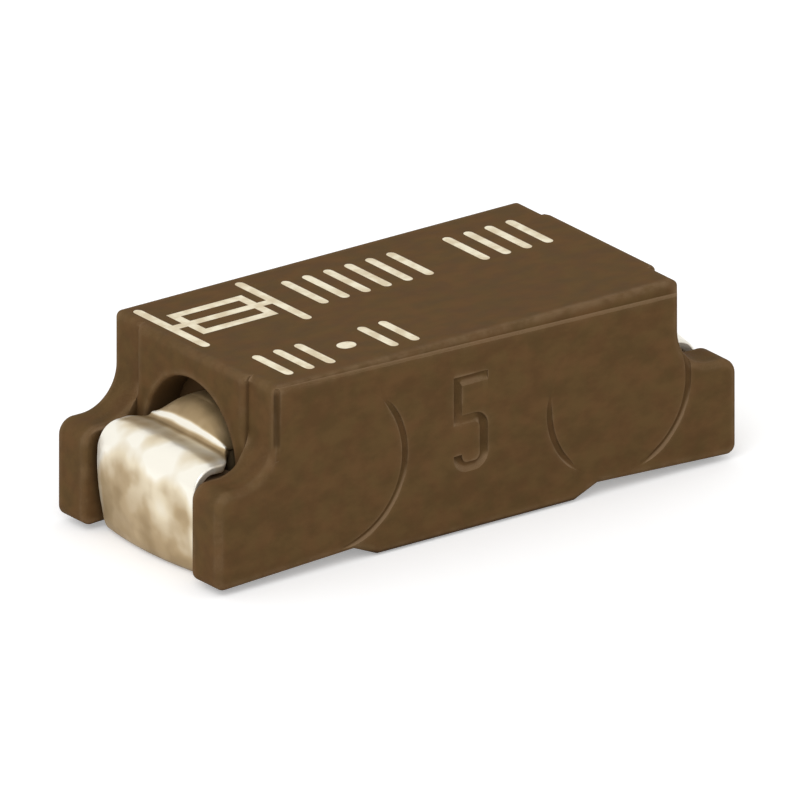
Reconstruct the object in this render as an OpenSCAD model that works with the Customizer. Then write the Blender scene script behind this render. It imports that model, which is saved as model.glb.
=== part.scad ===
// Surface-mount time-delay fuse.
// A moulded body has a round melting chamber along X. A drawn metal cap closes each end of it,
// and the cap's tab folds over a nose between two cheeks and under the body as the solder pad.
// Inside, the fuse wire is wound on an insulating core that is soldered into both caps.
// X runs along the fuse, Y across it and Z up from the solder pads.

/* [Body] */
// Length over the cheeks
fuse_l = 7.4; // [7.0:0.1:8.0]
// Width of the body
fuse_w = 3.1; // [2.9:0.1:3.5]
// Height of the top face above the solder pads
fuse_h = 2.4; // [2.3:0.05:2.8]
// Length of the tall block between the cheeks, at its four set-back corners
block_l = 5.76; // [5.5:0.02:5.8]
// How far the middle of each end wall stands proud of those corners
end_step = 0.07; // [0.03:0.01:0.1]
// Rounding of the block's top edges
edge_r = 0.08; // [0.04:0.01:0.12]
// Rounding of the upright edges
upright_r = 0.07; // [0.04:0.01:0.1]

/* [Cheeks] */
// Thickness of each cheek across the body
cheek_t = 0.52; // [0.5:0.02:0.64]
// Height of a cheek's flat top
cheek_h = 1.26; // [1.2:0.02:1.4]
// Concave blend from the end wall down to the cheek
blend_r = 0.5; // [0.3:0.05:0.5]
// Rounding of a cheek's upper outer corner
cheek_top_r = 0.2; // [0.1:0.01:0.22]
// Rounding of a cheek's lower outer corner
cheek_foot_r = 0.12; // [0.05:0.01:0.15]

/* [Underside] */
// Gap under the belly, which clears the board between the pads
belly_z = 0.02; // [0.02:0.01:0.05]
// Flat length of the belly
belly_l = 2.8; // [2.4:0.1:3.0]
// Length of the ramp at each end of the belly
belly_ramp = 0.33; // [0.2:0.01:0.4]
// Height of the cheek's underside at the belly ramp
wing_z = 0.16; // [0.15:0.01:0.18]
// Height of the cheek's underside at its outer end
foot_z = 0.1; // [0.08:0.01:0.12]

/* [Chamber] */
// Height of the chamber's axis, which the side grooves share
axis_z = 1.2; // [1.15:0.01:1.25]
// Radius of the melting chamber
chamber_r = 0.61; // [0.58:0.01:0.63]
// Radius of the open mouth around each cap
mouth_r = 0.85; // [0.8:0.01:0.88]
// Depth of each mouth behind the end wall
mouth_depth = 0.45; // [0.3:0.05:1.0]

/* [Side marks] */
// Depth of the round grooves and of the numeral
mark_depth = 0.03; // [0.01:0.005:0.04]
// Outer radius of each round groove, which the end of a mould insert leaves
disc_r = 1.03; // [0.9:0.01:1.05]
// Width of each round groove
groove_w = 0.08; // [0.05:0.01:0.1]
// Distance of a groove's centre from the middle of the body
disc_x = 2.02; // [1.9:0.02:2.1]
// Height of the mould cavity numeral
numeral_h = 1.18; // [1.0:0.02:1.4]
// Width of the numeral
numeral_w = 0.48; // [0.4:0.02:0.6]
// Width of the numeral's strokes
stroke_w = 0.11; // [0.08:0.01:0.14]

/* [Terminals] */
// Thickness of the terminal's sheet
metal_t = 0.12; // [0.1:0.01:0.13]
// Width of the tab
tab_w = 1.86; // [1.7:0.02:1.88]
// Height of the tab's upper face
tab_z = 1.36; // [1.32:0.01:1.38]
// How far the tab's face stays behind the cheek ends
tab_recess = 0.04; // [0.02:0.01:0.1]
// Outer radius of the fold at the top of the tab
fold_r = 0.34; // [0.3:0.01:0.36]
// How far the bowed face turns inwards, in degrees
face_turn = 18; // [16:1:22]
// Outer radius of the fold into the pad
heel_r = 0.2; // [0.18:0.01:0.26]
// Distance of the pad's inner end from the middle of the body
pad_x = 2.4; // [2.2:0.05:2.6]
// Distance from the middle of the body to the bend between the neck and the tab
bend_x = 3.06; // [3.02:0.01:3.1]
// Height of that bend in the middle
bend_z = 1.57; // [1.5:0.01:1.6]
// Outer radius of the cap
cap_r = 0.6; // [0.55:0.01:0.6]
// Distance of the cap's open end from the middle of the body
cap_x = 1.45; // [1.3:0.05:1.6]

/* [Fuse element] */
// Radius of the insulating core
core_r = 0.14; // [0.1:0.01:0.18]
// Diameter of the fuse wire
wire_d = 0.06; // [0.05:0.01:0.08]
// Turns of wire along the core
turns = 14; // [8:1:16]
// Length of the solder in each cap
solder_l = 0.45; // [0.3:0.05:0.6]

/* [Hidden] */
$fn = 64;

sheet_gap = 0.02;
arc_steps = 6;
end_x = fuse_l / 2;
corner_x = block_l / 2;
wall_x = corner_x + end_step;
half_w = fuse_w / 2;
cheek_in = half_w - cheek_t;
tab_x = end_x - tab_recess;
cap_end_x = wall_x - 0.13;
shoulder_x = bend_x + 0.08;
bend_r = 1.56;
solder_in = cap_end_x - metal_t - solder_l;
ramp_x = belly_l / 2 + belly_ramp;
body_brown = [0.37, 0.27, 0.17];
tin = [0.87, 0.82, 0.72];

// Points on an arc of radius r about c, from angle a0 to angle a1
function arc(c, r, a0, a1) =
    [for (i = [0:arc_steps]) let (a = a0 + (a1 - a0) * i / arc_steps) c + r * [cos(a), sin(a)]];

// Rectangle from low to high whose four corners are rounded by r
function rounded(low, high, r) = concat(
    arc([high.x - r, low.y + r], r, -90, 0), arc([high.x - r, high.y - r], r, 0, 90),
    arc([low.x + r, high.y - r], r, 90, 180), arc([low.x + r, low.y + r], r, 180, 270));

// Point and heading at distance s of a stretch that starts at p = [x, z, heading] and turns evenly
function step_on(p, s, len, turn) = turn == 0
    ? [p[0] + s * cos(p[2]), p[1] + s * sin(p[2]), p[2]]
    : let (r = len / (turn * PI / 180), a = p[2] + turn * s / len)
        [p[0] + r * (sin(a) - sin(p[2])), p[1] - r * (cos(a) - cos(p[2])), a];

// Points and headings along stretches, each [length, turn in degrees]
function run(stretches, p, i = 0) = i == len(stretches) ? [p] :
    let (len = stretches[i][0], turn = stretches[i][1], n = turn == 0 ? 1 : arc_steps)
    concat([for (k = [0:n - 1]) step_on(p, len * k / n, len, turn)],
        run(stretches, step_on(p, len, len, turn), i + 1));

// The same points moved by d to the right of their heading
function beside(path, d) = [for (p = path) [p[0] + d * sin(p[2]), p[1] - d * cos(p[2])]];

// Outline of the terminal's outer face at the right end, from the shoulder round to the pad
heel_turn = 90 - face_turn;
face_r = (tab_z - fold_r - heel_r * (1 - cos(heel_turn))) / sin(face_turn);
heel_x = tab_x - face_r * (1 - cos(face_turn)) - heel_r * sin(heel_turn);
tab_path = run([[tab_x - fold_r - shoulder_x, 0], [fold_r * PI / 2, -90],
                [face_r * face_turn * PI / 180, -face_turn], [heel_r * heel_turn * PI / 180, -heel_turn],
                [heel_x - pad_x, 0]], [shoulder_x, tab_z, 0]);

// Outline, seen from the front, drawn through the body between y0 and y1
module across(outline, y0, y1) {
    translate([0, y1, 0]) rotate([90, 0, 0]) linear_extrude(y1 - y0) polygon(outline);
}

// Outline, seen from above, drawn from z0 up to z1
module upward(outline, z0, z1) {
    translate([0, 0, z0]) linear_extrude(z1 - z0) polygon(outline);
}

// Outline, seen from the end, drawn along the body between -x1 and x1
module lengthwise(outline, x1) {
    translate([-x1, 0, 0]) rotate([90, 0, 90]) linear_extrude(2 * x1) polygon(outline);
}

// Round bar along X, centred on the chamber's axis, from x0 to x1
module bar(r, x0, x1) {
    translate([x0, 0, axis_z]) rotate([0, 90, 0]) cylinder(r = r, h = x1 - x0);
}

// Copies its child at both ends of the fuse
module both_ends() {
    children();
    mirror([1, 0, 0]) children();
}

// Tall block of half-length x1 and half-width y1, rounded on its upright and top edges
module block(x1, y1) {
    intersection() {
        upward(rounded([-x1, -y1], [x1, y1], upright_r), 0, fuse_h);
        lengthwise(rounded([-y1, -edge_r], [y1, fuse_h], edge_r), x1);
        across(concat([[-belly_l / 2, belly_z], [belly_l / 2, belly_z], [ramp_x, wing_z], [x1, wing_z]],
            arc([x1 - edge_r, fuse_h - edge_r], edge_r, 0, 90),
            arc([edge_r - x1, fuse_h - edge_r], edge_r, 90, 180),
            [[-x1, wing_z], [-ramp_x, wing_z]]), -y1, y1);
    }
}

// Cheek beside the right-hand tab, on the side of the body where Y is negative
module cheek() {
    outline = concat([[ramp_x, wing_z]],
        arc([end_x - cheek_foot_r, foot_z + cheek_foot_r], cheek_foot_r, -90, 0),
        arc([end_x - cheek_top_r, cheek_h - cheek_top_r], cheek_top_r, 0, 90),
        arc([corner_x + blend_r, cheek_h + blend_r], blend_r, 270, 180),
        [[ramp_x, cheek_h + blend_r]]);
    intersection() {
        across(outline, -half_w, -cheek_in);
        upward(rounded([0, -half_w], [end_x, -cheek_in], 1.5 * upright_r), 0, fuse_h);
    }
}

// Nose that fills the space inside the folded tab
module nose() {
    across(concat(beside(tab_path, metal_t + sheet_gap), [[pad_x, tab_z - metal_t - sheet_gap]]),
        -cheek_in, cheek_in);
}

// The figure 5 as a moulder cuts it, seen from the front and centred on the origin
module numeral() {
    half = numeral_h / 2;
    side = numeral_w / 2;
    corner_r = 0.4 * numeral_w;
    translate([-side, half - stroke_w]) square([numeral_w, stroke_w]);
    translate([-side, 0]) square([stroke_w, half]);
    difference() {
        polygon(rounded([-side, -half], [side, stroke_w], corner_r));
        polygon(rounded([stroke_w - side, stroke_w - half], [side - stroke_w, 0], corner_r - stroke_w));
        translate([-numeral_w, 2 * stroke_w - half]) square([side + 1.5 * stroke_w, half - 2 * stroke_w]);
    }
}

// Two round grooves cut into the front face
module front_grooves() {
    for (side = [-1, 1]) {
        translate([side * disc_x, mark_depth - half_w, axis_z]) rotate([90, 0, 0]) difference() {
            cylinder(r = disc_r, h = 1);
            translate([0, 0, -1]) cylinder(r = disc_r - groove_w, h = 3);
        }
    }
}

// Moulded body
module housing() {
    color(body_brown) difference() {
        union() {
            block(corner_x, half_w);
            block(wall_x, cheek_in);
            both_ends() {
                cheek();
                mirror([0, 1, 0]) cheek();
                nose();
            }
        }
        bar(chamber_r, -fuse_l, fuse_l);
        both_ends() bar(mouth_r, wall_x - mouth_depth, wall_x + sheet_gap);
        front_grooves();
        mirror([0, 1, 0]) front_grooves();
        translate([-0.09, mark_depth - half_w, axis_z + 0.14]) rotate([90, 0, 0]) linear_extrude(1) numeral();
    }
}

// Slice of the terminal's neck at the bend, a flat arch
module bend() {
    intersection() {
        translate([bend_x - 0.02, 0, bend_z - bend_r]) rotate([0, 90, 0]) cylinder(r = bend_r, h = 0.02, $fn = 180);
        translate([0, 0.02 - cap_r, tab_z - metal_t]) cube([end_x, 2 * (cap_r - 0.02), cap_r]);
    }
}

// Drawn cap, its neck and its folded tab, at the right end
module terminal() {
    color(tin) {
        difference() {
            bar(cap_r, cap_x, cap_end_x);
            bar(cap_r - metal_t, cap_x - 1, cap_end_x - metal_t);
        }
        hull() {
            intersection() {
                bar(cap_r, cap_end_x - metal_t, cap_end_x, $fn = 32);
                translate([0, -cap_r, tab_z - metal_t]) cube([end_x, 2 * cap_r, cap_r]);
            }
            bend();
        }
        hull() {
            bend();
            translate([shoulder_x, -tab_w / 2, tab_z - metal_t]) cube([0.02, tab_w, metal_t]);
        }
        across(concat(beside(tab_path, 0), [for (i = [1:len(tab_path)])
            beside(tab_path, metal_t)[len(tab_path) - i]]), -tab_w / 2, tab_w / 2);
    }
}

module terminal_right() { terminal(); }
module terminal_left() { mirror([1, 0, 0]) terminal(); }

// Insulating core between the closed ends of the two caps
module element_core() {
    color("ivory") bar(core_r, metal_t - cap_end_x, cap_end_x - metal_t);
}

// Fuse wire wound on the core between the two solder joints
module fuse_wire() {
    sides = 6;
    rings = turns * 14;
    coil_r = core_r + wire_d / 2 + 0.01;
    end_ring_x = solder_in - wire_d / 2;
    ring_points = [for (i = [0:rings])
        let (a = 360 * turns * i / rings, x = end_ring_x * (2 * i / rings - 1))
        for (k = [0:sides - 1]) let (b = 360 * k / sides, r = coil_r + wire_d / 2 * cos(b))
            [x + wire_d / 2 * sin(b), r * cos(a), axis_z + r * sin(a)]];
    walls = [for (i = [0:rings - 1]) for (k = [0:sides - 1]) let (n = (k + 1) % sides)
        [i * sides + k, i * sides + n, (i + 1) * sides + n, (i + 1) * sides + k]];
    first = [for (k = [0:sides - 1]) sides - 1 - k];
    last = [for (k = [0:sides - 1]) rings * sides + k];
    color("goldenrod") polyhedron(ring_points, concat(walls, [first, last]));
}

// Solder that joins the core and the wire's end to the right-hand cap
module solder() {
    color("silver") difference() {
        bar(cap_r - metal_t, solder_in, cap_end_x - metal_t);
        bar(core_r, 0, end_x);
    }
}

module solder_right() { solder(); }
module solder_left() { mirror([1, 0, 0]) solder(); }

housing();
terminal_left();
terminal_right();
element_core();
fuse_wire();
solder_left();
solder_right();
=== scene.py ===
import math

import bmesh
import bpy
import numpy as np
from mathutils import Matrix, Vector


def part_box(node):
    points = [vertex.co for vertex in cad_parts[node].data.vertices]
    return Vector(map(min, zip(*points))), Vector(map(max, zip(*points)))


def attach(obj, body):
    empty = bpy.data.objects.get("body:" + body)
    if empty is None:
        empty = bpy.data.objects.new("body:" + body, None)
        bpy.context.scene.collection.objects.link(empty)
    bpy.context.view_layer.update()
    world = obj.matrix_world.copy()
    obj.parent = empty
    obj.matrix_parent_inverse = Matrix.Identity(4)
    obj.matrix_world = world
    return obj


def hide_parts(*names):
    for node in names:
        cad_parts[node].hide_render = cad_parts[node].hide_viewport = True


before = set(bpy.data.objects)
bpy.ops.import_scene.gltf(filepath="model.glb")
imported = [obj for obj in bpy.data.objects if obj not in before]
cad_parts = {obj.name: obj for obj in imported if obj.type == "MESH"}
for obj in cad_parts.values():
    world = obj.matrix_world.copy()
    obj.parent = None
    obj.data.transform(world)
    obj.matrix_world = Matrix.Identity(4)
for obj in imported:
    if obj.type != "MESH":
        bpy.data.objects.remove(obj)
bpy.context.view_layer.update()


# Studio: a white table top in an even white room, with one broad soft lamp high on the left.
# The camera looks down on the fuse's left front corner and is orthographic, because the long
# edges in the photograph run parallel.
mm = 0.001
picture_px = 800
px_per_mm = 87.27
middle_px = (396.8, 392.2)
middle = Vector((0, 0, 1.2)) * mm
view_azimuth = math.radians(-36.51)
view_elevation = math.radians(21.49)
room_light = 0.76
lamp_watt = 0.065
lamp_size = 90 * mm
lamp_place = Vector((-90, -62, 100)) * mm
table_size = 400 * mm

across = Vector((math.cos(view_azimuth), math.sin(view_azimuth), 0))
back = Vector((math.sin(view_azimuth) * math.cos(view_elevation),
               -math.cos(view_azimuth) * math.cos(view_elevation), math.sin(view_elevation)))
upward = back.cross(across)
px = mm / px_per_mm
aim = middle + across * (picture_px / 2 - middle_px[0]) * px - upward * (picture_px / 2 - middle_px[1]) * px

lens = bpy.data.cameras.new("photograph_camera")
lens.type = "ORTHO"
lens.ortho_scale = picture_px * px
lens.clip_start = 1 * mm
lens.clip_end = 1
camera = bpy.data.objects.new("photograph_camera", lens)
camera.location = aim + back * 60 * mm
camera.rotation_mode = "QUATERNION"
camera.rotation_quaternion = (-back).to_track_quat("-Z", "Y")
bpy.context.scene.collection.objects.link(camera)
bpy.context.scene.camera = camera
bpy.context.scene.view_settings.view_transform = "Standard"


def white_for_the_eye(tree, shader, strength):
    """Share of rays that come from the camera, a mirror or glass, and the plain white light that they see."""
    path = tree.nodes.new("ShaderNodeLightPath")
    seen = tree.nodes.new("ShaderNodeMath")
    seen.operation = "MAXIMUM"
    tree.links.new(path.outputs["Is Camera Ray"], seen.inputs[0])
    tree.links.new(path.outputs["Is Glossy Ray"], seen.inputs[1])
    seen_too = tree.nodes.new("ShaderNodeMath")
    seen_too.operation = "MAXIMUM"
    tree.links.new(seen.outputs[0], seen_too.inputs[0])
    tree.links.new(path.outputs["Is Transmission Ray"], seen_too.inputs[1])
    white = tree.nodes.new("ShaderNodeBackground" if shader.type == "BACKGROUND" else "ShaderNodeEmission")
    white.inputs["Color"].default_value = (1, 1, 1, 1)
    white.inputs["Strength"].default_value = strength
    return seen_too.outputs[0], white.outputs[0]


world = bpy.data.worlds.new("white_room")
bpy.context.scene.world = world
world.use_nodes = True
room = world.node_tree
room_glow = room.nodes["Background"]
room_glow.inputs["Color"].default_value = (1, 1, 1, 1)
room_glow.inputs["Strength"].default_value = room_light
share, white = white_for_the_eye(room, room_glow, 1.0)
room_mix = room.nodes.new("ShaderNodeMixShader")
room.links.new(share, room_mix.inputs[0])
room.links.new(room_glow.outputs[0], room_mix.inputs[1])
room.links.new(white, room_mix.inputs[2])
room.links.new(room_mix.outputs[0], room.nodes["World Output"].inputs["Surface"])

lamp_data = bpy.data.lights.new("soft_lamp", "AREA")
lamp_data.energy = lamp_watt
lamp_data.size = lamp_size
lamp = bpy.data.objects.new("soft_lamp", lamp_data)
lamp.location = lamp_place
lamp.rotation_mode = "QUATERNION"
lamp.rotation_quaternion = (middle - lamp_place).to_track_quat("-Z", "Y")
bpy.context.scene.collection.objects.link(lamp)

table_mesh = bpy.data.meshes.new("table_top")
half_table = table_size / 2
table_mesh.from_pydata([(-half_table, -half_table, 0), (half_table, -half_table, 0),
                        (half_table, half_table, 0), (-half_table, half_table, 0)], [], [(0, 1, 2, 3)])
table_top = bpy.data.objects.new("table_top", table_mesh)
bpy.context.scene.collection.objects.link(table_top)
paint = bpy.data.materials.new("white_table_paint")
paint.use_nodes = True
paint_tree = paint.node_tree
paint_shader = paint_tree.nodes["Principled BSDF"]
paint_shader.inputs["Base Color"].default_value = (0.9, 0.9, 0.9, 1)
paint_shader.inputs["Roughness"].default_value = 0.9
paint_shader.inputs["Specular IOR Level"].default_value = 0
share, glow = white_for_the_eye(paint_tree, paint_shader, 0.32)
dark = paint_tree.nodes.new("ShaderNodeEmission")
dark.inputs["Strength"].default_value = 0
glow_mix = paint_tree.nodes.new("ShaderNodeMixShader")
paint_tree.links.new(share, glow_mix.inputs[0])
paint_tree.links.new(dark.outputs[0], glow_mix.inputs[1])
paint_tree.links.new(glow, glow_mix.inputs[2])
paint_sum = paint_tree.nodes.new("ShaderNodeAddShader")
paint_tree.links.new(paint_shader.outputs[0], paint_sum.inputs[0])
paint_tree.links.new(glow_mix.outputs[0], paint_sum.inputs[1])
paint_tree.links.new(paint_sum.outputs[0], paint_tree.nodes["Material Output"].inputs["Surface"])
table_mesh.materials.append(paint)


# Housing: one moulding of brown glass-filled thermoplastic, with a tall block, four end cheeks, a
# nose between each pair of cheeks and a stepped round chamber along its axis. The mould leaves two
# round insert grooves on each long side, a cavity numeral and a skewed parting line on the front.
end_x, half_y, top_z = np.array(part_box("housing")[1]) / mm
wall_x = 2.95
corner_x = 2.88
cheek_in = 1.03
cheek_z = 1.26
axis_z = 1.2
belly_z = 0.02
wing_z = 0.16
foot_z = 0.075
belly_x = 1.4
ramp_x = 1.73
foot_r = 0.12
cheek_r = 0.2
blend_r = 0.5
edge_r = 0.08
brim_r = 0.06
inner_r = 0.05
fold_centre = np.array([3.32, 1.02])
fold_r = 0.34
face_r = 2.854
face_turn = 18
heel_r = 0.2
nose_inset = 0.19
pad_x = 2.4


def line(start, end, n):
    """n points evenly spaced on the straight line from start towards end, the end left out."""
    s = np.arange(n)[:, None] / n
    return np.array(start) + s * (np.array(end) - np.array(start))


def arc(centre, r, start, end, n):
    """n points on the circle of radius r about centre, from angle start towards angle end, the end left
    out."""
    a = np.radians(start + (end - start) * np.arange(n) / n)
    return np.array(centre) + r * np.stack([np.cos(a), np.sin(a)], 1)


def smooth(t):
    """Smooth step from 0 to 1: three t squared less two t cubed, with t held between 0 and 1."""
    t = np.clip(t, 0, 1)
    return t * t * (3 - 2 * t)


def bell(value, middle, wide):
    """Bell curve: 1 at the middle, and about a third at wide away from it."""
    return np.exp(-((value - middle) / wide) ** 2)


def mirrored(half):
    """Closed outline of a right half that runs from the middle of the underside to the middle of the top."""
    return np.concatenate([half, (half * [-1, 1])[::-1][1:-1]])


def normals(outline):
    """Unit outward normals of a closed outline that runs anticlockwise: each is square to the chord between
    the point's neighbours."""
    along = np.roll(outline, -1, 0) - np.roll(outline, 1, 0)
    out = np.stack([along[:, 1], -along[:, 0]], 1)
    return out / np.linalg.norm(out, axis=1)[:, None]


# Both outlines have the same number of points on each stretch: belly, ramp, underside, foot, end,
# upper corner, cheek top, blend, wall, top edge, top
face_centre = fold_centre - [face_r - fold_r, 0]
heel_centre = face_centre + (face_r - heel_r) * np.array([math.cos(math.radians(face_turn)),
                                                          -math.sin(math.radians(face_turn))])
nose_z = fold_centre[1] + fold_r - nose_inset
side_outline = mirrored(np.concatenate([
    line([0, belly_z], [belly_x, belly_z], 65), line([belly_x, belly_z], [ramp_x, wing_z], 12),
    line([ramp_x, wing_z], [end_x - foot_r, foot_z], 70),
    arc([end_x - foot_r, foot_z + foot_r], foot_r, -90, 0, 8),
    line([end_x, foot_z + foot_r], [end_x, cheek_z - cheek_r], 20),
    arc([end_x - cheek_r, cheek_z - cheek_r], cheek_r, 0, 90, 8),
    line([end_x - cheek_r, cheek_z], [corner_x + blend_r, cheek_z], 5),
    arc([corner_x + blend_r, cheek_z + blend_r], blend_r, 270, 180, 14),
    line([corner_x, cheek_z + blend_r], [corner_x, top_z - edge_r], 12),
    arc([corner_x - edge_r, top_z - edge_r], edge_r, 0, 90, 8),
    line([corner_x - edge_r, top_z], [0, top_z], 110), [[0, top_z]]]))
middle_outline = mirrored(np.concatenate([
    line([0, belly_z], [belly_x, belly_z], 65), line([belly_x, belly_z], [ramp_x, wing_z], 12),
    line([ramp_x, wing_z], [pad_x - 0.04, wing_z], 24), line([pad_x - 0.04, wing_z], [pad_x, nose_inset], 2),
    line([pad_x, nose_inset], [heel_centre[0], nose_inset], 44),
    arc(heel_centre, heel_r - nose_inset, -90, -face_turn, 8),
    arc(face_centre, face_r - nose_inset, -face_turn, 0, 20),
    arc(fold_centre, fold_r - nose_inset, 0, 90, 8), line([fold_centre[0], nose_z], [wall_x, nose_z], 5),
    line([wall_x, nose_z], [wall_x, cheek_z + blend_r], 14),
    line([wall_x, cheek_z + blend_r], [wall_x, top_z - edge_r], 12),
    arc([wall_x - edge_r, top_z - edge_r], edge_r, 0, 90, 8),
    line([wall_x - edge_r, top_z], [0, top_z], 110), [[0, top_z]]]))

# The seam of each flat side runs along its middle, and the grid closes on it
quarter = len(side_outline) // 4
seam_end_x, seam_drop = 3.3, 0.52
seam_share = np.abs(np.arange(-quarter, quarter) / quarter)
seam_x = seam_end_x * (1 - seam_share)
seam_x = np.concatenate([seam_x, -seam_x])
seam = np.stack([seam_x, axis_z - seam_drop * smooth((np.abs(seam_x) - 1.6) / 1.7)], 1)


def half_rows(side):
    """Rows of one half of the housing, from the seam on its flat side to its middle plane. Each row is an
    outline moved inwards by an inset, at one distance from the middle plane, side times y. The two edges
    between the outlines are rounded only where the one that has the edge stands out past the other."""
    side_out, middle_out = normals(side_outline), normals(middle_outline)
    lead = ((middle_outline - side_outline) * side_out).sum(1)
    cheek_proud = np.clip(-lead / 0.05, 0, 1)[:, None]
    wall_proud = np.clip(lead / 0.05, 0, 1)[:, None]
    rim = side_outline - brim_r * side_out
    rows = [(rim + share * (seam - rim), half_y) for share in (1, 0.7, 0.4, 0.15, 0.04, 0.012)]
    for a in np.radians([90, 75, 60, 45, 30, 15, 0]):
        rows.append((side_outline - brim_r * (1 - math.cos(a)) * side_out,
                     half_y - brim_r * (1 - math.sin(a))))
    for y in (half_y - brim_r - 0.015, 1.3, cheek_in + inner_r + 0.015, cheek_in + inner_r):
        rows.append((side_outline, y))
    for a in np.radians([22.5, 45, 67.5, 90]):
        rows.append((side_outline - inner_r * (1 - math.cos(a)) * cheek_proud * side_out,
                     cheek_in + inner_r * (1 - math.sin(a))))
    start = side_outline - inner_r * cheek_proud * side_out
    stop = middle_outline - brim_r * wall_proud * middle_out
    for share in (0.04, 0.5, 0.96, 1):
        rows.append((start + share * (stop - start), cheek_in - 0.003 * share))
    for a in np.radians([67.5, 45, 22.5, 0]):
        rows.append((middle_outline - brim_r * (1 - math.cos(a)) * wall_proud * middle_out,
                     cheek_in - brim_r * (1 - math.sin(a))))
    for y in (cheek_in - brim_r - 0.015, 0.5, 0):
        rows.append((middle_outline, y))
    return [np.stack([flat[:, 0], side * y * np.ones(len(flat)), flat[:, 1]], 1) for flat, y in rows]


def grid_mesh(name, points, rounds=True):
    """Mesh of a grid of points, rows by columns by 3, in millimetres. Rounds joins the last column to the
    first."""
    rows, columns = points.shape[:2]
    index = np.arange(rows * columns).reshape(rows, columns)
    here = index[:-1, :] if rounds else index[:-1, :-1]
    beside = np.roll(index, -1, 1)[:-1, :] if rounds else index[:-1, 1:]
    above = index[1:, :] if rounds else index[1:, :-1]
    diagonal = np.roll(index, -1, 1)[1:, :] if rounds else index[1:, 1:]
    quads = np.stack([here, beside, diagonal, above], -1).reshape(-1, 4)
    mesh = bpy.data.meshes.new(name)
    mesh.from_pydata(points.reshape(-1, 3) * mm, [], quads.tolist())
    return mesh


def piece(name, *grids):
    """Object of one or more grids of points: doubled points are merged, open ends closed, a shell that is
    inside out turned round as a whole, and the faces are smooth."""
    work = bmesh.new()
    for grid in grids:
        part = bmesh.new()
        mesh = grid_mesh(name, grid)
        part.from_mesh(mesh)
        bmesh.ops.remove_doubles(part, verts=part.verts, dist=0.0001 * mm)
        bmesh.ops.dissolve_degenerate(part, edges=part.edges, dist=0.0001 * mm)
        bmesh.ops.holes_fill(part, edges=[edge for edge in part.edges if len(edge.link_faces) == 1], sides=0)
        if part.calc_volume(signed=True) < 0:
            bmesh.ops.reverse_faces(part, faces=part.faces)
        part.to_mesh(mesh)
        part.free()
        work.from_mesh(mesh)
        bpy.data.meshes.remove(mesh)
    for face in work.faces:
        face.smooth = True
    shape = bpy.data.meshes.new(name)
    work.to_mesh(shape)
    work.free()
    made = bpy.data.objects.new(name, shape)
    bpy.context.scene.collection.objects.link(made)
    return made


def turned(profile, steps=160):
    """Grid of revolution about the chamber's axis: at each [x, r] of the profile a ring of radius r."""
    a = np.linspace(0, 2 * np.pi, steps, endpoint=False)[None, :]
    x, r = (np.array(profile)[:, k:k + 1] for k in (0, 1))
    return np.stack([x + 0 * a, r * np.sin(a), axis_z + r * np.cos(a)], -1)


def swept(path, half_wide, half_deep, lift, round_trip=False, power=0.6):
    """Grid of a flat bar carried along a path in a plane. The section is an oval, squarish where the power is
    under 1: cosine and sine of its angle to that power, times the half width and the half depth. The half
    width is laid square to the path and mitred at its corners, and lift moves the bar out of the plane.
    Half width, half depth and lift may vary along the path. The last axis holds the plane's two and lift."""
    before = path - np.roll(path, 1, 0)
    after = np.roll(path, -1, 0) - path
    if not round_trip:
        before[0], after[-1] = after[0], before[-1]
    before /= np.linalg.norm(before, axis=1)[:, None]
    after /= np.linalg.norm(after, axis=1)[:, None]
    mean = before + after
    square = np.stack([-mean[:, 1], mean[:, 0]], 1)
    square /= (square * np.stack([-before[:, 1], before[:, 0]], 1)).sum(1)[:, None]
    turn = np.linspace(0, 2 * np.pi, 16, endpoint=False)[None, :]
    wide, deep = (np.sign(wave) * np.abs(wave) ** power for wave in (np.cos(turn), np.sin(turn)))
    one = np.ones(len(path))[:, None]
    out = (lift * one.T).T + (half_deep * one.T).T * deep
    offset = ((half_wide * one.T).T * wide)[:, :, None] * square[:, None, :]
    grid = np.concatenate([path[:, None, :] + offset, out[:, :, None]], -1)
    return np.concatenate([grid, grid[:1]]) if round_trip else grid


def on_side(grid, side):
    """Grid whose plane is a long side of the housing: its first two are x and z, and its third goes
    outwards."""
    return np.stack([grid[:, :, 0], side * (half_y + grid[:, :, 2]), grid[:, :, 1]], -1)


def cut(body, tool, operation):
    """Joins or takes away a closed tool object and deletes it."""
    step = body.modifiers.new("cut", "BOOLEAN")
    step.object, step.operation, step.solver = tool, operation, "MANIFOLD"
    bpy.context.view_layer.update()
    shaped = bpy.data.meshes.new_from_object(body.evaluated_get(bpy.context.evaluated_depsgraph_get()))
    body.modifiers.clear()
    body.data = shaped
    bpy.data.objects.remove(tool)


def finished(body, sharp_from):
    """Keeps edges sharp from an angle in degrees, and weights the other normals by face so that flats stay
    flat."""
    body.data.set_sharp_from_angle(angle=math.radians(sharp_from))
    weighted = body.modifiers.new("flat_faces", "WEIGHTED_NORMAL")
    weighted.keep_sharp = True


housing_piece = piece("moulded_housing", np.stack(half_rows(1) + half_rows(-1)[::-1][1:]))

chamber_r, mouth_r, mouth_depth, lip_r = 0.61, 0.85, 0.45, 0.04
lip = [[wall_x - lip_r + lip_r * math.sin(a), mouth_r + lip_r * (1 - math.cos(a))]
       for a in np.radians([0, 22, 45, 67, 90])]
bore_half = [[wall_x + 0.02, 0], [wall_x + 0.02, mouth_r + lip_r]] + lip[::-1] + [
    [wall_x - mouth_depth, mouth_r], [wall_x - mouth_depth, chamber_r]]
bore_profile = bore_half + [[-x, r] for x, r in bore_half[::-1]]
cut(housing_piece, piece("bore_tool", turned(bore_profile)), "DIFFERENCE")

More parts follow.
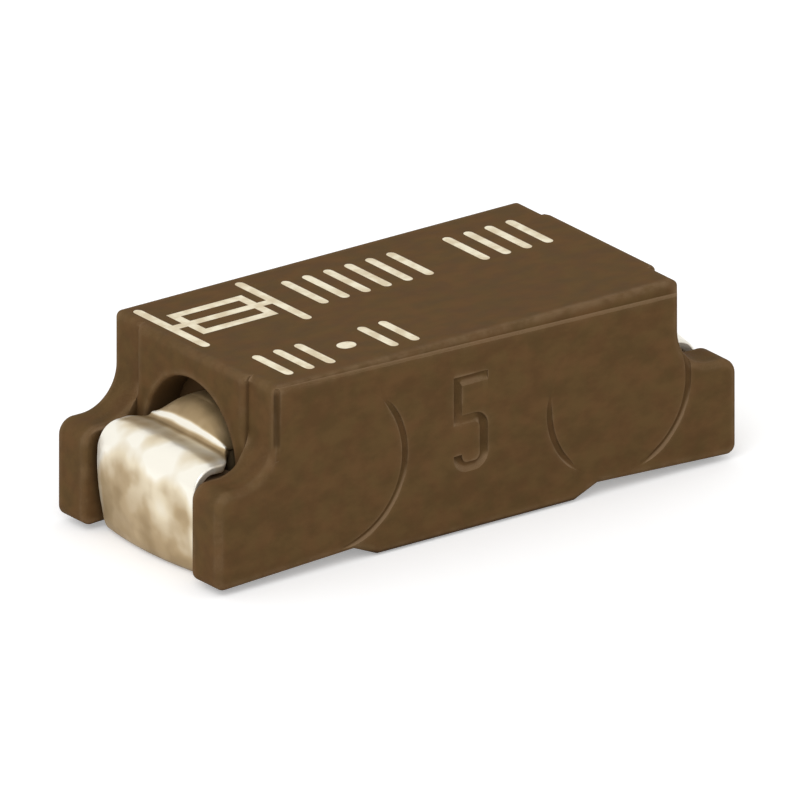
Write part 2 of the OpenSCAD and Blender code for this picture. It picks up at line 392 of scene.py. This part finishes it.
# Above the parting line the front stands back a little, over a short slope that catches the light
left_x, left_z = -2.79, 2.353
right_x, right_z = 2.55, 2.21
step_in, step_up = 0.034, 0.032
parting_x = np.array([-3.0, 3.0])[:, None]
parting_z = left_z + (parting_x - left_x) / (right_x - left_x) * (right_z - left_z)
above_top = np.full((2, 2), 2.5)
step_y = np.array([-half_y - step_in, -half_y + step_in, -half_y + step_in, -half_y - step_in])[None, :]
step_z = np.concatenate([parting_z - step_up, parting_z + step_up, above_top], 1)
step_grid = np.stack([parting_x + 0 * step_y, step_y + 0 * parting_x, step_z], -1)
cut(housing_piece, piece("parting_tool", step_grid), "DIFFERENCE")

# Round grooves: each is deep on the arcs given in degrees, and all but gone elsewhere
disc_x = 2.02
groove_r = 0.99
groove_half = 0.042
groove_deep = 0.034
groove_lift = 0.033
groove_fade = 20
groove_turn = np.arange(0, 360, 2.5)


def groove(centre_x, side, deep_arcs):
    """Ring-shaped bar about a groove's centre. Along each deep arc, a middle and half its length in degrees,
    its lift falls smoothly to 0 and its half width grows."""
    deep = np.zeros(len(groove_turn))
    for middle_turn, half_arc in deep_arcs:
        away = np.abs((groove_turn - middle_turn + 180) % 360 - 180)
        deep = np.maximum(deep, smooth((half_arc - away) / groove_fade + 0.5))
    ring = arc([centre_x, axis_z], groove_r, 0, 360, len(groove_turn))
    half_wide = groove_half * (0.7 + 0.3 * deep)
    return on_side(swept(ring, half_wide, groove_deep, groove_lift * (1 - deep), True, 0.9), side)


# The numeral is one stroke: bar, left stroke, waist and open bowl. Its deepest line leans upwards, so
# that the lower slopes of its level parts are wide and catch the light
numeral_place = np.array([-0.09, axis_z + 0.14])
bar_end_x = 0.24
bar_z = 0.535
waist_z = 0.055
left_stroke_x = -0.185
bowl_r = 0.137
bowl_x = 0.048
bowl_high_z, bowl_low_z = -0.082, -0.398
tail_z = -0.37
stroke_half = 0.06
lean = 0.9
stroke = numeral_place + np.concatenate([
    line([bar_end_x, bar_z], [left_stroke_x, bar_z], 6),
    line([left_stroke_x, bar_z], [left_stroke_x, waist_z], 8),
    line([left_stroke_x, waist_z], [bowl_x, waist_z], 4),
    arc([bowl_x, bowl_high_z], bowl_r, 90, 0, 10), arc([bowl_x, bowl_low_z], bowl_r, 0, -90, 10),
    arc([-bowl_x, bowl_low_z], bowl_r, 270, 180, 10), [[left_stroke_x, tail_z]]])
steep = np.abs(np.gradient(stroke[:, 1])) / np.linalg.norm(np.gradient(stroke, axis=0), axis=1)
waist = bell(stroke[:, 1], numeral_place[1] + waist_z, 0.03) * (1 - steep)
stroke_deep = 0.034 + 0.016 * steep - 0.016 * waist
stroke_deep[[0, -1]] = 0.012
numeral = on_side(swept(stroke, stroke_half, stroke_deep, 0.0, power=1.0), -1)
numeral[:, :, 2] += lean * (numeral[:, :, 1] + half_y)
grooves = [groove(-disc_x, -1, [(-18, 58)]), groove(disc_x, -1, [(200, 26), (-18, 46)]),
           groove(-disc_x, 1, [(90, 50)]), groove(disc_x, 1, [(90, 50)]), numeral]
cut(housing_piece, piece("groove_tool", *grooves), "DIFFERENCE")

# A short groove runs down the left front corner: it is deepest at the top and fades out above the
# cheek's blend
corner_rows = 12
corner_groove_x = -2.85
corner_line = line([corner_groove_x, 1.5], [corner_groove_x, 2.46], corner_rows)
corner_lift = np.linspace(0.028, -0.01, corner_rows)
corner_groove = on_side(swept(corner_line, 0.045, 0.035, corner_lift, power=1.0), -1)
cut(housing_piece, piece("corner_tool", corner_groove), "DIFFERENCE")
finished(housing_piece, 38)


def principled(name, color, roughness, metallic=0.0, specular=0.5):
    """New material with its shader's plain values set, and its node tree and shader."""
    material = bpy.data.materials.new(name)
    material.use_nodes = True
    shader = material.node_tree.nodes["Principled BSDF"]
    shader.inputs["Base Color"].default_value = (*color, 1)
    shader.inputs["Roughness"].default_value = roughness
    shader.inputs["Metallic"].default_value = metallic
    shader.inputs["Specular IOR Level"].default_value = specular
    return material, material.node_tree, shader


def noise(tree, scale, detail=2.0, stretch=(1, 1, 1), shift=(0, 0, 0)):
    """Noise on the object's own coordinates. Scale is in patches per millimetre, and shift in metres."""
    place = tree.nodes.new("ShaderNodeTexCoord")
    turn = tree.nodes.new("ShaderNodeMapping")
    turn.inputs["Scale"].default_value = stretch
    turn.inputs["Location"].default_value = shift
    pattern = tree.nodes.new("ShaderNodeTexNoise")
    pattern.inputs["Scale"].default_value = scale / mm
    pattern.inputs["Detail"].default_value = detail
    tree.links.new(place.outputs["Object"], turn.inputs["Vector"])
    tree.links.new(turn.outputs["Vector"], pattern.inputs["Vector"])
    return pattern.outputs["Fac"]


def ramp(tree, value, stops):
    """Colours along a value, from stops of [place, colour]."""
    band = tree.nodes.new("ShaderNodeValToRGB")
    points = band.color_ramp.elements
    while len(points) < len(stops):
        points.new(0.5)
    for point, (place, color) in zip(points, stops):
        point.position = place
        point.color = (*color, 1)
    tree.links.new(value, band.inputs["Fac"])
    return band.outputs["Color"]


def between(tree, value, low_in, high_in, low_out, high_out):
    """Value carried smoothly from one range to another and held at its ends."""
    scale = tree.nodes.new("ShaderNodeMapRange")
    scale.interpolation_type = "SMOOTHSTEP"
    for socket, number in zip(scale.inputs[1:5], (low_in, high_in, low_out, high_out)):
        socket.default_value = number
    tree.links.new(value, scale.inputs[0])
    return scale.outputs[0]


def blended(tree, share, first, second, how="MIX"):
    """Colour mixed from first to second by a share. A colour is a socket or three numbers."""
    mix = tree.nodes.new("ShaderNodeMix")
    mix.data_type, mix.blend_type = "RGBA", how
    sockets = (mix.inputs[0], mix.inputs[6], mix.inputs[7])
    for socket, part in zip(sockets, (share, first, second)):
        if isinstance(part, bpy.types.NodeSocket):
            tree.links.new(part, socket)
        else:
            socket.default_value = part if isinstance(part, float) else (*part, 1)
    return mix.outputs[2]


def crease(tree, distance, inside=False):
    """How open the space round a point is within a distance in millimetres, 1 where nothing is near. Inside
    looks into the piece instead, where less than 1 is near an edge."""
    look = tree.nodes.new("ShaderNodeAmbientOcclusion")
    look.samples = 6
    look.inside = inside
    look.only_local = inside
    look.inputs["Distance"].default_value = distance * mm
    return look.outputs["AO"]


def away_from(tree, axes, shift=(0, 0, 0)):
    """Distance in millimetres from a plane, a line or a point: the length of the object's coordinates times 1
    or 0 along each axis, after a shift in millimetres."""
    place = tree.nodes.new("ShaderNodeTexCoord")
    move = tree.nodes.new("ShaderNodeMapping")
    move.inputs["Location"].default_value = shift
    move.inputs["Scale"].default_value = [axis / mm for axis in axes]
    reach = tree.nodes.new("ShaderNodeVectorMath")
    reach.operation = "LENGTH"
    tree.links.new(place.outputs["Object"], move.inputs["Vector"])
    tree.links.new(move.outputs["Vector"], reach.inputs[0])
    return reach.outputs["Value"]


def multiplied(tree, first, second):
    """Product of two values."""
    product = tree.nodes.new("ShaderNodeMath")
    product.operation = "MULTIPLY"
    tree.links.new(first, product.inputs[0])
    tree.links.new(second, product.inputs[1])
    return product.outputs[0]


def by_slope(tree, level, facing_up):
    """Value that goes from one number on upright faces to another on faces that slope upwards, by the z of
    the object's normal."""
    place = tree.nodes.new("ShaderNodeTexCoord")
    parts = tree.nodes.new("ShaderNodeSeparateXYZ")
    tree.links.new(place.outputs["Normal"], parts.inputs[0])
    return between(tree, parts.outputs["Z"], 0.08, 0.4, level, facing_up)


def bump(tree, shader, value, distance, strength=1.0, under=None):
    """Bump of a value on a shader, distance in millimetres, laid over another bump if there is one."""
    raised = tree.nodes.new("ShaderNodeBump")
    raised.inputs["Strength"].default_value = strength
    raised.inputs["Distance"].default_value = distance * mm
    tree.links.new(value, raised.inputs["Height"])
    if under:
        tree.links.new(under, raised.inputs["Normal"])
    tree.links.new(raised.outputs["Normal"], shader.inputs["Normal"])
    return raised.outputs["Normal"]


def given(piece_object, material, node):
    """Gives a piece its only material, rides it on the fuse, and hides the model's part that it replaces, if
    one is named.
    """
    piece_object.data.materials.clear()
    piece_object.data.materials.append(material)
    if node:
        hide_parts(node)
    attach(piece_object, "root")


# Brown plastic: mottled, with a painted highlight on its edges, painted shade in creases of upright faces
# and a painted highlight in those of sloping ones, and painted shade in the mouths and down the left front
# corner
plastic, plastic_tree, plastic_shader = principled(
    "brown_moulded_plastic", (0.12, 0.065, 0.026), 0.7, specular=0.03)
red_brown, olive_brown = (0.121, 0.0650, 0.0262), (0.114, 0.0665, 0.0258)
mottle = between(plastic_tree, noise(plastic_tree, 3.2, 4), 0.38, 0.62, 0, 1)
flow = between(plastic_tree, noise(plastic_tree, 5.5, 4, (0.6, 1, 1), (0.01, 0, 0)), 0.3, 0.7, 0, 1)
plastic_color = blended(plastic_tree, mottle, red_brown, olive_brown)
plastic_color = blended(plastic_tree, 1.0, plastic_color, ramp(plastic_tree, flow, [
    [0, (0.88, 0.88, 0.87)], [1, (1.10, 1.10, 1.11)]]), "MULTIPLY")
# Painted highlight: convex edges are made lighter in patches, standing in for light caught on the rounded
# edges
painted_edge_highlight = between(plastic_tree, crease(plastic_tree, 0.12, True), 0.93, 0.66, 0, 0.75)
edge_highlight_patches = between(plastic_tree, noise(plastic_tree, 6, 3, shift=(0, 0.01, 0)), 0.35, 0.65, 0.4, 1.1)
painted_edge_highlight = multiplied(plastic_tree, painted_edge_highlight, edge_highlight_patches)
plastic_color = blended(plastic_tree, painted_edge_highlight, plastic_color, (0.205, 0.13, 0.068))
shelter = crease(plastic_tree, 0.13)
# Painted shade: on upright faces, closed-in places such as the grooves and the numeral are darkened
painted_crease_shade = multiplied(plastic_tree, between(plastic_tree, shelter, 0.88, 0.4, 0, 0.85),
                        by_slope(plastic_tree, 1.0, 0.0))
plastic_color = blended(plastic_tree, painted_crease_shade, plastic_color, (0.045, 0.024, 0.009))
# Painted light: in creases, faces that slope upwards, such as the numeral's lower walls, are made lighter
painted_slope_light = multiplied(plastic_tree, between(plastic_tree, shelter, 0.995, 0.88, 0, 0.85),
                        by_slope(plastic_tree, 0.0, 1.0))
plastic_color = blended(plastic_tree, painted_slope_light, plastic_color, (0.26, 0.17, 0.095))
# Painted shade: inside the chamber's mouths, behind the end walls, the plastic is darkened
from_axis = away_from(plastic_tree, (0, 1, 1), (0, 0, -axis_z))
from_centre = away_from(plastic_tree, (1, 0, 0))
painted_mouth_shade = multiplied(plastic_tree,
                         between(plastic_tree, from_axis, mouth_r + 0.03, mouth_r - 0.01, 0, 0.75),
                         between(plastic_tree, from_centre, wall_x - 0.01, wall_x - 0.08, 0, 1))
plastic_color = blended(plastic_tree, painted_mouth_shade, plastic_color, (0.10, 0.058, 0.025))
# Painted shade: the groove down the left front corner is darkened along the middle of its length
from_corner = away_from(plastic_tree, (1, 1, 0), (-corner_groove_x, 1.54, 0))
from_middle = away_from(plastic_tree, (0, 0, 1), (0, 0, -2))
painted_corner_shade = multiplied(plastic_tree, between(plastic_tree, from_corner, 0.06, 0.025, 0, 0.7),
                          between(plastic_tree, from_middle, 0.38, 0.28, 0, 1))
plastic_color = blended(plastic_tree, painted_corner_shade, plastic_color, (0.05, 0.028, 0.011))
plastic_tree.links.new(plastic_color, plastic_shader.inputs["Base Color"])
plastic_tree.links.new(between(plastic_tree, flow, 0, 1, 0.62, 0.78), plastic_shader.inputs["Roughness"])
ripple = bump(plastic_tree, plastic_shader, noise(plastic_tree, 3.5, 2), 0.006, 0.7)
bump(plastic_tree, plastic_shader, noise(plastic_tree, 38, 3), 0.002, 0.5, ripple)
given(housing_piece, plastic, "housing")


# Terminals: each is one piece of tinned copper alloy. A drawn cap closes the chamber, and its tab
# drops over a sharp bend from the cap's neck to a crowned flat, folds down over the nose and turns
# under the body as the solder pad.
metal_t = 0.12
tab_half = 0.945
crown_z = 1.47
tin_edge = 0.03
dent_deep = 0.008
neck_rows, fold_rows, face_rows, heel_rows, pad_rows = 88, 36, 34, 14, 24


def through(points, n):
    """n points on the Catmull-Rom curve through the given points, the last left out. Between two points it is
    the cubic that meets both and runs there as the line between each one's neighbours."""
    points = np.array(points)
    ends = np.concatenate([[2 * points[0] - points[1]], points, [2 * points[-1] - points[-2]]])
    place = np.arange(n) / n * (len(points) - 1)
    first = place.astype(int)
    f = (place - first)[:, None]
    a, b, c, d = (ends[first + k] for k in range(4))
    square, cube = 2 * a - 5 * b + 4 * c - d, 3 * b - a - 3 * c + d
    return 0.5 * (2 * b + (c - a) * f + square * f ** 2 + cube * f ** 3)


# Neck and flat: x and z of the edge, x and z of the middle, and half the width. The bend's middle
# stands further out than its ends, because it runs round the domed end of the cap
neck = through([[2.56, 1.366, 2.56, 1.800, 0.60], [2.70, 1.368, 2.70, 1.795, 0.64],
                [2.80, 1.375, 2.84, 1.765, 0.68], [2.87, 1.40, 2.95, 1.70, 0.70],
                [2.93, 1.43, 3.03, 1.62, 0.71], [2.965, 1.43, 3.065, 1.56, 0.72],
                [2.985, 1.40, 3.085, 1.505, 0.74], [3.015, 1.372, 3.11, 1.475, 0.79],
                [3.07, 1.362, 3.16, 1.472, 0.88], [3.15, 1.361, 3.22, 1.471, tab_half],
                [3.28, 1.36, 3.32, crown_z, tab_half]], neck_rows)
heel_bend = 0.17
face_end = 15
fold_turn = np.radians(90 - 90 * np.arange(fold_rows) / fold_rows)


def tab_path(fold_middle, fold_wide, fold_high, face, heel_x):
    """Outline of the tab from the fold to the pad: a quarter oval, the face's smooth curve, an arc and the
    pad."""
    fold = fold_middle + np.stack([fold_wide * np.cos(fold_turn), fold_high * np.sin(fold_turn)], 1)
    heel = arc([heel_x, heel_bend], heel_bend, -face_end, -90, heel_rows)
    return np.concatenate([fold, through(face + [heel[0]], face_rows), heel,
                           line([heel_x, 0], [pad_x, 0], pad_rows), [[pad_x, 0]]])


edge_face = [[3.59, 1.06], [3.592, 0.85], [3.562, 0.49], [3.5, 0.21]]
centre_face = [[3.685, 1.02], [3.682, 0.85], [3.655, 0.49], [3.598, 0.21]]
edge_tab = tab_path([3.28, 1.06], 0.31, 0.30, edge_face, 3.31)
centre_tab = tab_path([3.32, 1.02], 0.365, crown_z - 1.02, centre_face, 3.406)
edge_path = np.concatenate([neck[:, 0:2], edge_tab])
centre_path = np.concatenate([neck[:, 2:4], centre_tab])
half_width = np.concatenate([neck[:, 4], np.full(len(edge_path) - len(neck), tab_half)])


def sheet_skin(share):
    """Outer face of the tab: at each row of the paths a circular arc across the fuse, whose ends lie on the
    edge path and whose middle lies on the centre path. Share runs from -1 to 1 along the arc."""
    rise = np.linalg.norm(centre_path - edge_path, axis=1)[:, None] + 0.0004
    width = half_width[:, None]
    half_angle = 2 * np.arctan(rise / width)
    angle = share * half_angle
    y = width * np.sin(angle) / np.sin(half_angle)
    height = (np.cos(angle) - np.cos(half_angle)) / (1 - np.cos(half_angle))
    flat = edge_path[:, None, :] + (centre_path - edge_path)[:, None, :] * height[:, :, None]
    return np.stack([flat[:, :, 0], y, flat[:, :, 1]], -1)


def dents(points):
    """Depth of slight dents over the sheet: products of sines of y and of height with x, at three sizes."""
    x, y, z = points[:, :, 0], points[:, :, 1], points[:, :, 2]
    run = z - x
    large, middling, small = 1, 0.6, 0.35
    waves = large * np.sin(5.1 * y + 1.3) * np.sin(6.3 * run + 0.4)
    waves += middling * np.sin(9.7 * y + 2.1) * np.sin(10.9 * run)
    waves += small * np.sin(17.3 * y + 0.7 + 2 * run) * np.sin(15.1 * run + 1.9)
    return dent_deep * (1 + waves / (large + middling + small))


def tab_grid(side):
    """Closed grid round the sheet's section: the outer face, a rounded edge, the inner face and the other
    edge. Each column has a share of the width and a depth, laid along the outer face's own normals."""
    turn = np.radians(np.linspace(0, 90, 6))
    across_face = np.linspace(-1, 1, 73)[1:-1]
    edge_in, edge_deep = tin_edge * (1 - np.sin(turn)), tin_edge * (1 - np.cos(turn))
    level, at_edge = 0 * across_face, np.ones(2 * len(turn))
    lane = np.concatenate([across_face, at_edge, across_face[::-1], -at_edge])
    inset = np.concatenate([level, edge_in, edge_in[::-1], level, edge_in, edge_in[::-1]])
    depth = np.concatenate([level, edge_deep, metal_t - edge_deep[::-1], metal_t + level,
                            metal_t - edge_deep, edge_deep[::-1]])
    share = lane[None, :] * (1 - inset[None, :] / half_width[:, None])
    nearby = 0.01
    skin = sheet_skin(share)
    row_step = np.gradient(skin, axis=0)
    lane_step = sheet_skin(np.clip(share + nearby, -1, 1)) - sheet_skin(np.clip(share - nearby, -1, 1))
    out = np.cross(row_step, lane_step)
    out /= np.linalg.norm(out, axis=2)[:, :, None]
    pressed = dents(skin) * smooth((skin[:, :, 2] - 0.15) / 0.2) * smooth((skin[:, :, 0] - 2.95) / 0.1)
    points = skin - (depth[None, :] + pressed)[:, :, None] * out
    return points * [side, 1, 1]


# Soft spots of the fold and the face: painted highlights where how much is above 0, and painted dull
# reflection where it is below.
# Columns: how much, y and z of the middle, and how wide and high
spots = [[0.6, -0.30, 1.30, 0.24, 0.2], [0.55, -0.86, 1.2, 0.2, 0.26], [0.6, 0.88, 1.18, 0.26, 0.26],
         [0.32, 0.28, 1.38, 0.2, 0.1], [-0.16, 0.36, 0.98, 0.30, 0.12], [0.2, -0.4, 0.72, 0.2, 0.14],
         [0.13, -0.65, 0.55, 0.25, 0.35]]


def painted_sheen(points):
    """How bright the plate is painted, as painted highlights, reflections and shade: painted highlights over
    the fold in soft spots, along the bend, beside it on the flat and along the tab's edges, a painted dark
    line under the bend, dull tan on the face as tarnish and painted dark reflection, and olive on the neck as
    painted shade and reflection. It is a sum of bell curves and smooth steps."""
    x, y, z = np.abs(points[:, 0]), points[:, 1], points[:, 2]
    on_tab = smooth((x - 3.12 + 0.13 * y ** 2) / 0.08)
    on_fold = smooth((x - 3.25) / 0.15)
    bend_x = 3.058 - 0.19 * y ** 2
    bright = 0.30 + 0.21 * on_tab - 0.11 * smooth((0.95 - z) / 0.3) * on_tab
    bright += 0.16 * bell(z, 1.25, 0.17) * smooth((x - 3.2) / 0.15)
    for level, y_at, z_at, wide, high in spots:
        bright += level * bell(y, y_at, wide) * bell(z, z_at, high) * on_fold
    bright += 0.16 * bell(x, 3.17, 0.09) * smooth((z - 1.3) / 0.06)
    bright += 0.85 * bell(x, bend_x, 0.018) * smooth((z - 1.40) / 0.04)
    bright -= 0.12 * bell(x, bend_x + 0.06, 0.022) * smooth((z - 1.33) / 0.04)
    return bright + 0.26 * smooth((np.abs(y) - 0.80) / 0.1) * on_tab * smooth((z - 0.1) / 0.3)


tin, tin_tree, tin_shader = principled("tin_plate", (0.85, 0.78, 0.65), 0.3, metallic=0.55)
# The plate's colour and roughness follow its painted highlights, reflections and shade, with noise patches
shine = tin_tree.nodes.new("ShaderNodeAttribute")
shine.attribute_name = "painted_sheen"
blots = between(tin_tree, noise(tin_tree, 1.5, 1.5), 0.3, 0.7, -0.09, 0.09)
clouds = between(tin_tree, noise(tin_tree, 4.0, 1.5, shift=(0.02, 0, 0)), 0.3, 0.7, -0.06, 0.06)
tone = shine.outputs["Fac"]
for patches in (blots, clouds):
    total = tin_tree.nodes.new("ShaderNodeMath")
    tin_tree.links.new(tone, total.inputs[0])
    tin_tree.links.new(patches, total.inputs[1])
    tone = total.outputs[0]
tin_color = ramp(tin_tree, tone, [
    [0.05, (0.17, 0.115, 0.05)], [0.30, (0.34, 0.24, 0.12)], [0.48, (0.47, 0.35, 0.20)],
    [0.70, (0.76, 0.66, 0.48)], [0.92, (0.95, 0.91, 0.80)]])
# Painted shade: the plate is darkened where the space round it is closed in, in the bend and beside the
# housing
tin_painted_shade = between(tin_tree, crease(tin_tree, 0.15), 0.75, 0.25, 0, 0.5)
tin_color = blended(tin_tree, tin_painted_shade, tin_color, (0.12, 0.075, 0.03))
tin_tree.links.new(tin_color, tin_shader.inputs["Base Color"])
tin_tree.links.new(between(tin_tree, tone, 0.2, 0.95, 0.55, 0.3), tin_shader.inputs["Roughness"])
dimple = bump(tin_tree, tin_shader, noise(tin_tree, 7, 3), 0.012, 0.5)
bump(tin_tree, tin_shader, noise(tin_tree, 60, 2, (1, 0.3, 1)), 0.0015, 0.5, dimple)

# The cap's section, x and radius: inside from the closed end to the open one, and back along the outside
cap_end_x, cap_open_x = 2.82, 1.45
cap_in_x = cap_end_x - metal_t
cap_in_r, cap_out_r = 0.48, 0.597
cap_profile = [[cap_in_x, 0], [cap_in_x, 0.45], [cap_in_x - 0.03, cap_in_r], [1.46, cap_in_r],
               [cap_open_x, 0.49], [cap_open_x, 0.585], [1.465, cap_out_r], [2.74, cap_out_r],
               [2.775, 0.59], [2.8, 0.57], [2.815, 0.535], [cap_end_x, 0.49], [cap_end_x, 0]]
for side, end_name in ((-1, "left"), (1, "right")):
    terminal = piece("tinned_terminal_" + end_name, tab_grid(side))
    cut(terminal, piece("cap_tool", turned([[side * x, r] for x, r in cap_profile])), "UNION")
    corners = np.empty(3 * len(terminal.data.vertices))
    terminal.data.vertices.foreach_get("co", corners)
    # Stores the painted highlights, reflections and shade on the terminal's points
    shade = terminal.data.attributes.new("painted_sheen", "FLOAT", "POINT")
    shade.data.foreach_set("value", painted_sheen(corners.reshape(-1, 3) / mm))
    finished(terminal, 50)
    given(terminal, tin, "terminal_" + end_name)


# Marks: cream ink screen-printed on the top in two rows, a few thousandths of a millimetre thick. They
# are plain shapes: a fuse's circuit symbol, upright bars and one dot.
ink_half = 0.06
ink_t = 0.003
symbol_y, lower_y = 0.69, -0.92
box_left, box_right, box_half = -2.45, -1.5, 0.3
symbol_left, symbol_right = -2.7, -1.25


def dash(start, end, half=ink_half):
    """Printed dash with round ends: the half width follows a quarter circle from each end of the line."""
    start, end = np.array(start, float), np.array(end, float)
    length = np.linalg.norm(end - start)
    lead = half * (1 - np.cos(np.radians([12, 35, 60, 90])))
    s = np.concatenate([lead, length - lead[::-1]])
    reach = np.minimum(s, length - s)
    wide = half * np.sqrt(1 - np.clip(1 - reach / half, 0, 1) ** 2)
    return swept(start + s[:, None] / length * (end - start), wide, ink_t, 0.0)


def on_top(grid):
    """Grid whose plane is the top of the housing: its first two are x and y, and its third goes up."""
    return np.stack([grid[:, :, 0], grid[:, :, 1], top_z + grid[:, :, 2]], -1)


def bars(places, y, half):
    """One upright bar at each x, with its middle at y and half its length as given."""
    return [dash([x, y - half], [x, y + half]) for x in places]


symbol_box = np.array([[box_left, symbol_y - box_half], [box_right, symbol_y - box_half],
                       [box_right, symbol_y + box_half], [box_left, symbol_y + box_half]])
flat_marks = [swept(symbol_box, ink_half, ink_t, 0.0, True)]
flat_marks.append(dash([symbol_left, symbol_y], [symbol_right, symbol_y]))
flat_marks += bars([symbol_left, symbol_right], symbol_y, 0.7)
flat_marks += bars([-0.8, -0.5, -0.2, 0.1, 0.4, 0.7, 1.5, 1.8, 2.1, 2.4], symbol_y, 0.42)
flat_marks += bars([-2.45, -2.15, -1.85, -0.95, -0.65], lower_y, 0.36)
flat_marks.append(dash([-1.52, lower_y], [-1.28, lower_y], 0.1))
marks = piece("printed_marks", *[on_top(grid) for grid in flat_marks])
ink, ink_tree, ink_shader = principled("cream_ink", (0.8, 0.7, 0.5), 0.75, specular=0.1)
ink_patches = between(ink_tree, noise(ink_tree, 5, 3), 0.35, 0.65, 0, 1)
ink_color = blended(ink_tree, ink_patches, (0.74, 0.63, 0.44), (0.93, 0.85, 0.65))
ink_tree.links.new(ink_color, ink_shader.inputs["Base Color"])
bump(ink_tree, ink_shader, noise(ink_tree, 45, 2), 0.002, 0.5)
given(marks, ink, None)


# Core: a yarn of glass fibre, whose twisted strands carry the fuse wire between the caps. Both of
# its ends are soldered into the caps.
core_r = 0.14
core_end = cap_in_x
strands = 7
strand_turns = 9
core_x = np.linspace(-core_end, core_end, 260)[:, None]
core_a = np.linspace(0, 2 * np.pi, 84, endpoint=False)[None, :]
strand = np.abs(np.sin(strands / 2 * (core_a - strand_turns * np.pi * core_x / core_end)))
core_radius = core_r * (0.88 + 0.12 * strand ** 0.6)
core_y, core_z = core_radius * np.sin(core_a), axis_z + core_radius * np.cos(core_a)
core = piece("glass_fibre_yarn", np.stack([core_x + 0 * core_a, core_y, core_z], -1))
glass, glass_tree, glass_shader = principled("glass_fibre", (0.8, 0.78, 0.7), 0.4)
fibres = noise(glass_tree, 30, 3, (0.15, 1, 1))
glass_color = ramp(glass_tree, fibres, [[0.3, (0.62, 0.58, 0.48)], [0.7, (0.86, 0.84, 0.76)]])
glass_tree.links.new(glass_color, glass_shader.inputs["Base Color"])
bump(glass_tree, glass_shader, fibres, 0.006, 0.6)
given(core, glass, "element_core")


# Fuse wire: a drawn round wire wound on the yarn, whose two ends come up to the solder.
wire_r = 0.03
solder_deep = 0.45
coil_r = core_r + wire_r + 0.01
coil_turns = 14
coil_end = core_end - solder_deep - wire_r
coil_t = np.linspace(0, 1, coil_turns * 40 + 1)[:, None]
wire_a = np.linspace(0, 2 * np.pi, 12, endpoint=False)[None, :]
coil_a = 2 * np.pi * coil_turns * coil_t
ring_r = coil_r + wire_r * np.cos(wire_a)
wire_x = coil_end * (2 * coil_t - 1) + wire_r * np.sin(wire_a)
wire_y, wire_z = ring_r * np.cos(coil_a), axis_z + ring_r * np.sin(coil_a)
wire = piece("wound_fuse_wire", np.stack([wire_x, wire_y, wire_z], -1))
brass, brass_tree, brass_shader = principled("drawn_wire", (0.78, 0.55, 0.3), 0.35, metallic=1.0)
scores = noise(brass_tree, 50, 2, (0.2, 1, 1))
brass_color = ramp(brass_tree, scores, [[0.3, (0.62, 0.42, 0.2)], [0.7, (0.84, 0.62, 0.36)]])
brass_tree.links.new(brass_color, brass_shader.inputs["Base Color"])
bump(brass_tree, brass_shader, scores, 0.002, 0.5)
given(wire, brass, "fuse_wire")


# Solder: fills the closed end of each cap round the core, and its free face dips between the two.
gap = 0.001
dip = 0.06
solder_in_r, solder_out_r = core_r + gap, cap_in_r - gap
solder_r = np.linspace(solder_in_r, solder_out_r, 16)
dip_r, dip_half = (solder_out_r + solder_in_r) / 2, (solder_out_r - solder_in_r) / 2
climb = np.abs((solder_r - dip_r) / dip_half) ** 2.5
solder_face = np.stack([core_end - solder_deep + dip * (1 - climb), solder_r], 1)
solder_back = [[core_end - 0.03, solder_out_r], [core_end - gap, 0.45], [core_end - gap, solder_in_r]]
solder_profile = np.concatenate([solder_face, solder_back, solder_face[:1]])
solder, solder_tree, solder_shader = principled("solidified_solder", (0.62, 0.62, 0.6), 0.4, metallic=1.0)
grains = noise(solder_tree, 14, 4)
solder_color = ramp(solder_tree, grains, [[0.3, (0.45, 0.45, 0.43)], [0.7, (0.72, 0.72, 0.70)]])
solder_tree.links.new(solder_color, solder_shader.inputs["Base Color"])
bump(solder_tree, solder_shader, grains, 0.006, 0.6)
for side, end_name in ((-1, "left"), (1, "right")):
    plug = piece("cap_solder_" + end_name, turned(solder_profile * [side, 1], 96))
    given(plug, solder, "solder_" + end_name)
